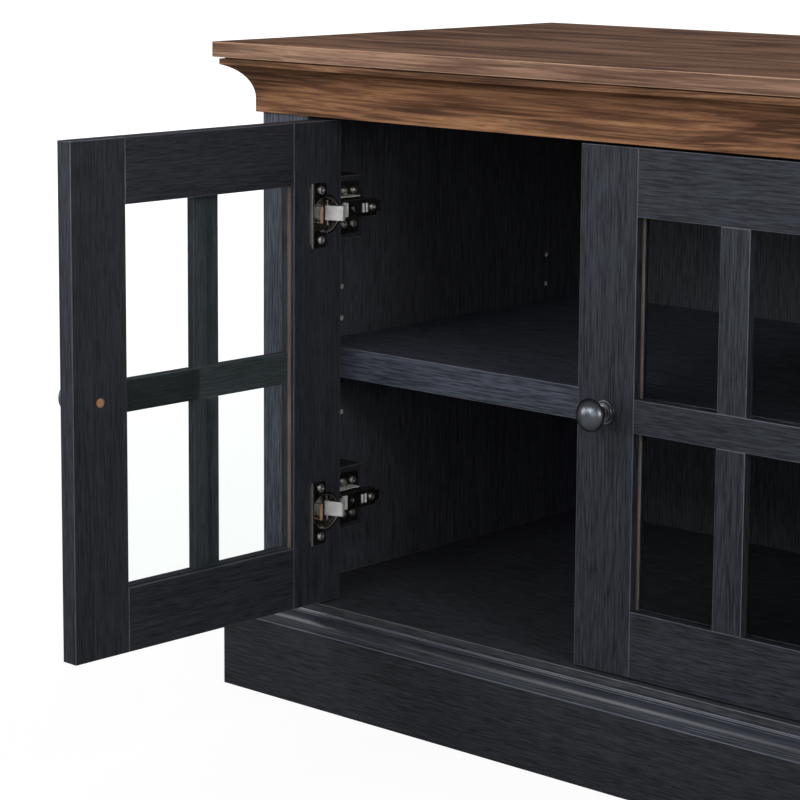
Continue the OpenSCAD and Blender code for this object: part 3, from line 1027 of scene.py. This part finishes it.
fixings = {  # sizes: head radius and height, shaft radius and length
    "cup": {"size": (0.0040, 0.0018, 0.0019, 0.012), "u": 0.027, "v": 0.0192, "pitch": 0.048},
    "knob": {"size": (0.0039, 0.0022, 0.0020, 0.024), "v": 0.0155},
    "plate": {"size": (0.0038, 0.0018, 0.0017, 0.015), "x": 0.0015, "y": (0.0505, 0.0635),
              "z": 0.0165},
    "clamp": {"size": (0.0036, 0.0020, 0.0020, 0.0125), "x": 0.016, "y": 0.050},
    "tail": {"size": (0.0036, 0.0020, 0.0020, 0.005), "x": 0.016, "y": 0.075},
}


def aimed(place, spot, aim):
    return (place @ Vector(spot), (place.to_3x3() @ Vector(aim)).normalized())


def doorFixings(n, c):
    place = doorPlace(n)
    work = bmesh.new()
    cup, screw = c["cup"], c["knob"]
    half = cup["pitch"] / 2
    spots = [aimed(place, (cup["u"], cup["v"], up + side * half), (0, 1, 0))
             for up in hinges["heights"] for side in (-1, 1)]
    setOut(work, screwMesh(*cup["size"]), spots, 10 + n, "brightNickel")
    spots = [aimed(place, (door["knobAt"], screw["v"], door["barUp"]), (0, 1, 0))]
    setOut(work, screwMesh(*screw["size"]), spots, 20 + n, "copper", 1)
    layGrain(work, f"fixings{n}", "up")
    meshPiece(f"door{n}Screws", work, f"door{n}", ("brightNickel", "copper"),
              [f"door{n}_screws"])


def bodyFixings(c):
    work = bmesh.new()
    plate, clamp, tail = c["plate"], c["clamp"], c["tail"]
    places = [hingePlace(n) @ Matrix.Translation((0, 0, up))
              for n in range(1, 5) for up in hinges["heights"]]
    spots = [aimed(p, (plate["x"], y, side * plate["z"]), (1, 0, 0))
             for p in places for y in plate["y"] for side in (-1, 1)]
    setOut(work, screwMesh(*plate["size"]), spots, 31, "brightNickel")
    # the clamp screws take the dark gunmetal: painted shade, as they sit in the arm's shadow
    for part, seed, finish, index in ((clamp, 32, "gunmetal", 1), (tail, 33, "brightNickel", 0)):
        spots = [aimed(p, (part["x"], part["y"], 0), (1, 0, 0)) for p in places]
        setOut(work, screwMesh(*part["size"]), spots, seed, finish, index)
    layGrain(work, "bodyFixings", "up")
    meshPiece("hingeScrews", work, "cabinet", ("brightNickel", "gunmetal"), ["hinge_screws"])


pinHoles = {
    "faces": ((-0.738, 1), (-0.009, -1), (0.009, 1), (0.738, -1)),    # where each is and how it looks
    "columns": (0.093, 0.417),
    "rows": (0.265, 0.361, 0.393),
    "sleeve": (0.0025, 0.0019, 0.006, 0.0042),    # outer and inner radius, length, and how deep its floor is
}


def makeSleeves(c):
    work = bmesh.new()
    spots = [((x, front + y, z), (way, 0, 0))
             for x, way in c["faces"] for y in c["columns"] for z in c["rows"]]
    setOut(work, sleeveMesh(*c["sleeve"]), spots, 41, "sleeve")
    layGrain(work, "sleeves", "up")
    meshPiece("pinSleeves", work, "cabinet", ("sleeve",))


for n in range(1, 5):
    doorFixings(n, fixings)
bodyFixings(fixings)
makeSleeves(pinHoles)
print("screws and sleeves set out")

studio = {
    "floor": (176, 176, 176),
    "floorSize": 14,
    "floorWhite": 0.74,    # share of plain white that the camera sees in the floor
    "floorGlow": 1.25,
    "floorFade": (1.0, 4.5),    # from how far out the floor turns white, and where it is
    "sky": 0.5,
    "shine": 0.14,         # what polished surfaces see of the sky
    "lamps": [  # name, place, aimed at, width, height, power, spread
        ("frontLamp", (0.1, -1.6, 1.05), (0.1, -0.25, 0.76), 2.0, 0.35, 2.3, 58),
        ("fillLamp", (0.6, -2.8, 0.8), (-0.45, -0.25, 0.45), 1.6, 1.0, 2.4, 110),
        ("rightLamp", (2.3, -1.4, 1.1), (-0.75, -0.4, 0.5), 0.8, 0.8, 4.4, 90),
        ("leftLamp", (-2.0, -1.9, 0.9), (-0.8, -0.45, 0.35), 0.9, 0.9, 1.6, 60),
        ("doorLamp", (1.2, -2.2, 1.9), (-0.70, -0.60, 0.54), 0.4, 0.4, 0.2, 14),
        ("topLamp", (0.2, 0.6, 3.0), (0, 0, 0.6), 2.4, 1.6, 15, 180),
    ],
}


def makeFloor(c):
    s = newMaterial("studioFloor")
    x, y, _ = s.parts(s.place())
    mottle = s.noise(s.place(), 3, 2)
    colour = s.blend(s.fade(mottle, 0.3, 0.7, 0, 0.06), paint(*c["floor"]), (1, 1, 1, 1))
    lit = s.surface(Base_Color=colour, Roughness=0.9, Specular_IOR_Level=0.2)
    white = s.add("ShaderNodeEmission", {}, {"Color": (1, 1, 1, 1), "Strength": c["floorGlow"]})
    away = (x * x + y * y) ** 0.5
    share = s.fade(away, *c["floorFade"], c["floorWhite"], 1.0)
    material = s.finish(s.join(s.ray("Is Camera Ray") * share, lit, white))
    work = bmesh.new()
    bmesh.ops.create_grid(work, x_segments=1, y_segments=1, size=c["floorSize"])
    mesh = toMesh("studioFloor", work)
    mesh.materials.append(material)
    floor = bpy.data.objects.new("studioFloor", mesh)
    bpy.context.scene.collection.objects.link(floor)


def makeSky(c):
    world = bpy.data.worlds.new("studioSky")
    bpy.context.scene.world = world
    s = Shade(world)
    polished = s.ray("Is Glossy Ray")
    glow = s.ray("Is Camera Ray") * (1 - c["sky"]) + polished * (c["shine"] - c["sky"]) + c["sky"]
    sky = s.add("ShaderNodeBackground", {}, {"Color": (1, 1, 1, 1), "Strength": glow})
    s.finish(sky, "World")


def makeLamps(c):
    for name, place, aim, wide, high, power, spread in c["lamps"]:
        lamp = bpy.data.lights.new(name, "AREA")
        lamp.shape, lamp.size, lamp.size_y, lamp.energy = "RECTANGLE", wide, high, power
        lamp.spread = math.radians(spread)
        stand = bpy.data.objects.new(name, lamp)
        stand.location = place
        stand.rotation_mode = "QUATERNION"
        stand.rotation_quaternion = (Vector(aim) - Vector(place)).to_track_quat("-Z", "Y")
        bpy.context.scene.collection.objects.link(stand)


makeFloor(studio)
makeSky(studio)
makeLamps(studio)
bpy.context.scene.view_settings.view_transform = "Standard"
print("studio lit")
